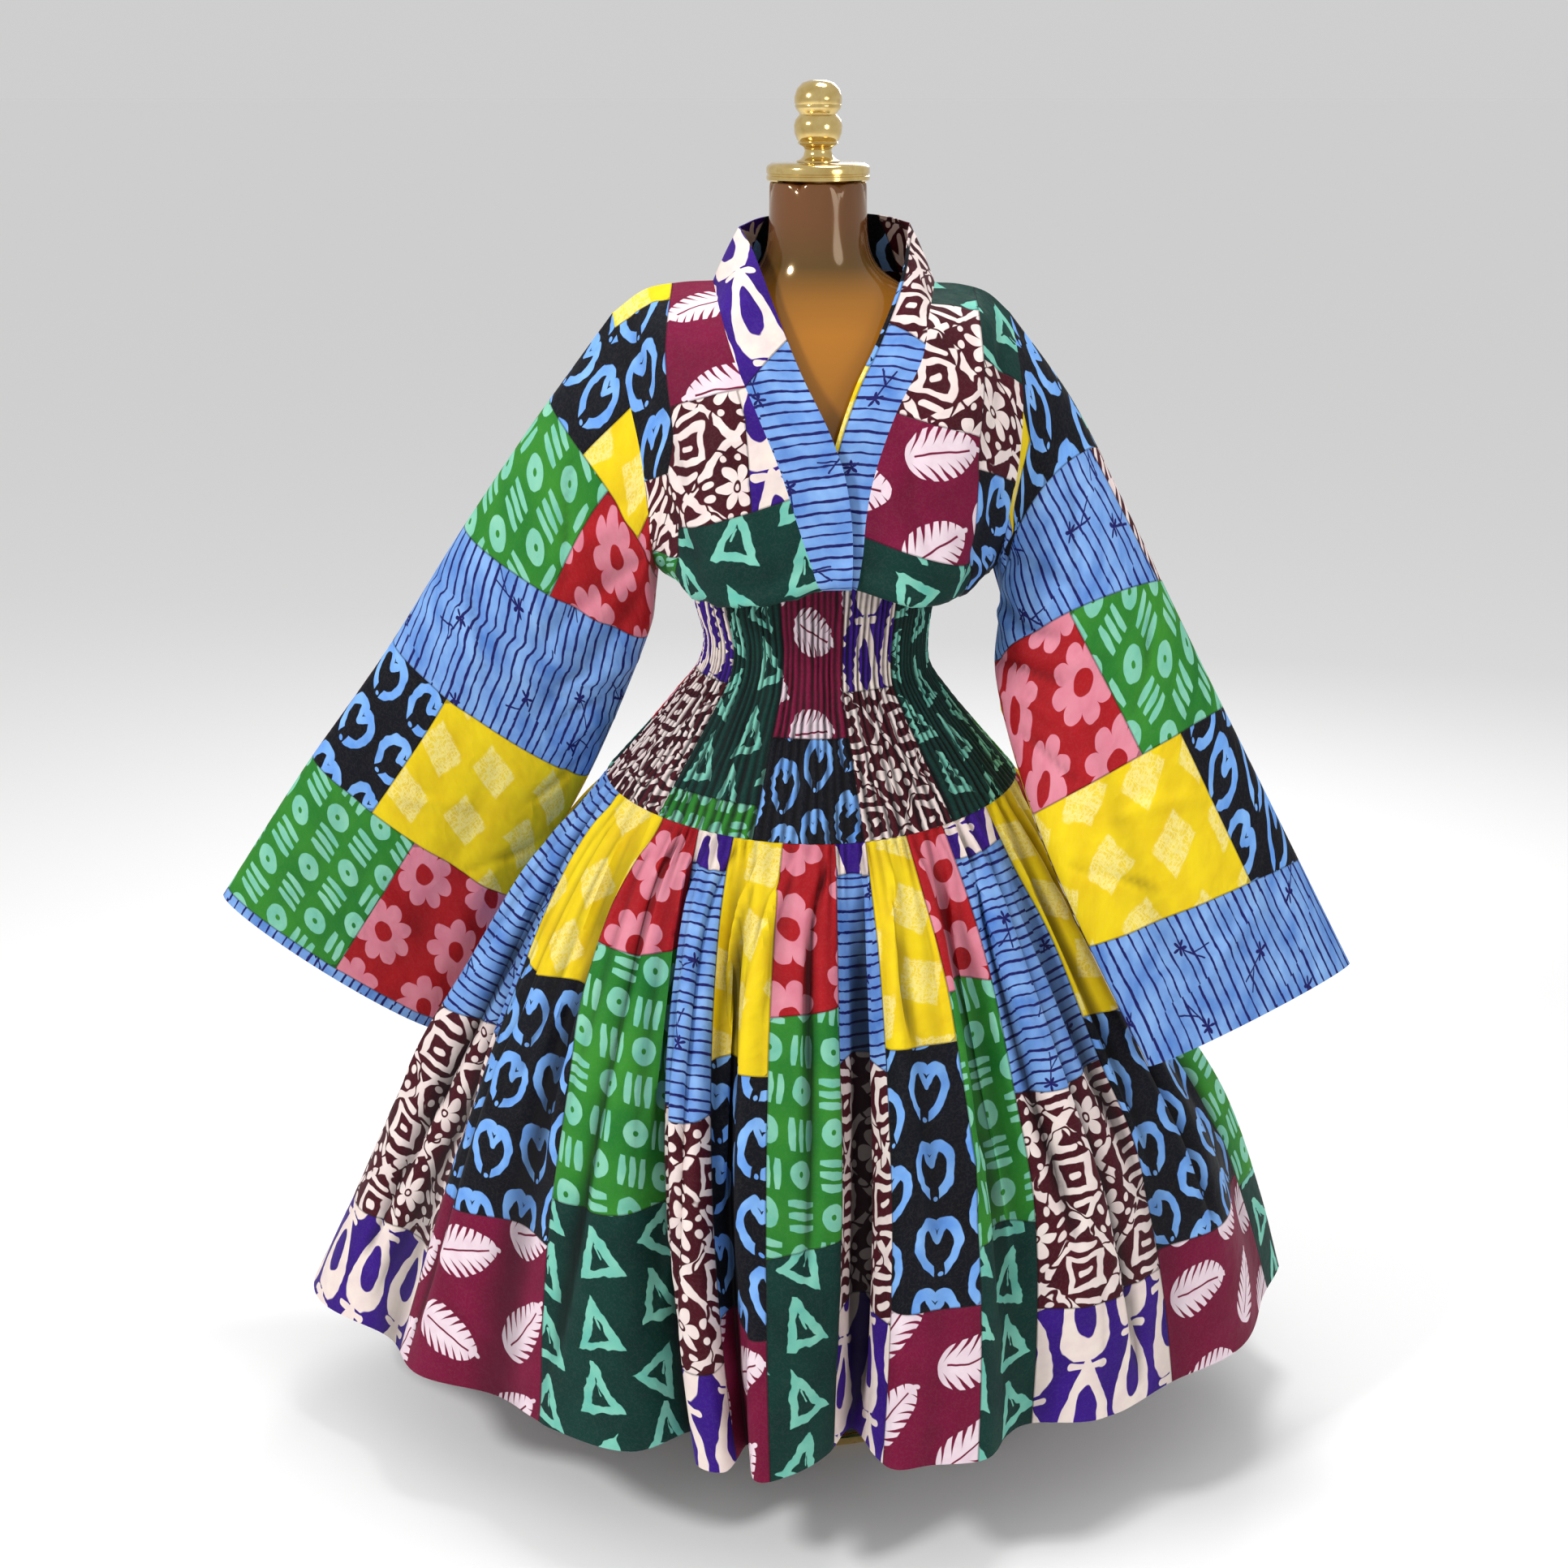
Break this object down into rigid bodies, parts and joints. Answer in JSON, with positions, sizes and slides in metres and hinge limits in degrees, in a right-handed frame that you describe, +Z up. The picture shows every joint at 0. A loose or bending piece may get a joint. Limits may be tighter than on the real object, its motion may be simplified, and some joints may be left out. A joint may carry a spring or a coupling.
{
  "type": "patchwork wax print dress with its limbless dress form and stand",
  "caption": "Long-sleeved crossover dress of printed cotton patches with a wide shirred waist and a full gathered skirt, on a limbless dress form with a pole and round base",
  "frame": {"origin": "middle of the round base's underside, under the pole", "axes": "+Z up, the dress front faces -Y, +X to the right as seen from the front; the left sleeve hangs at -X"},
  "size_m": [1.3789, 0.9154, 1.6078],
  "materials": {
    "bodice_cotton": "printed plain-weave cotton patches with a faint wax sheen",
    "neckband_cotton": "printed plain-weave cotton patches with a faint wax sheen",
    "sleeve_cotton": "printed plain-weave cotton patches with a faint wax sheen",
    "waist_cotton": "printed cotton gathered on rows of elastic thread",
    "skirt_cotton": "printed plain-weave cotton patches with a faint wax sheen",
    "brown_gloss": "glossy brown lacquered shell",
    "brass": "polished brass plating"
  },
  "bodies": {
    "root": {"bodice_front_left": "bodice_cotton", "bodice_front_right": "bodice_cotton", "bodice_back": "bodice_cotton", "neckband_left": "neckband_cotton", "neckband_right": "neckband_cotton", "sleeve_left_front": "sleeve_cotton", "sleeve_left_back": "sleeve_cotton", "sleeve_right_front": "sleeve_cotton", "sleeve_right_back": "sleeve_cotton", "shirred_waist_front": "waist_cotton", "shirred_waist_back": "waist_cotton", "skirt_front": "skirt_cotton", "skirt_back": "skirt_cotton", "form_torso": "brown_gloss", "cap_plate": "brass", "finial": "brass", "pole": "brass", "base": "brass"}
  },
  "joints": []
}
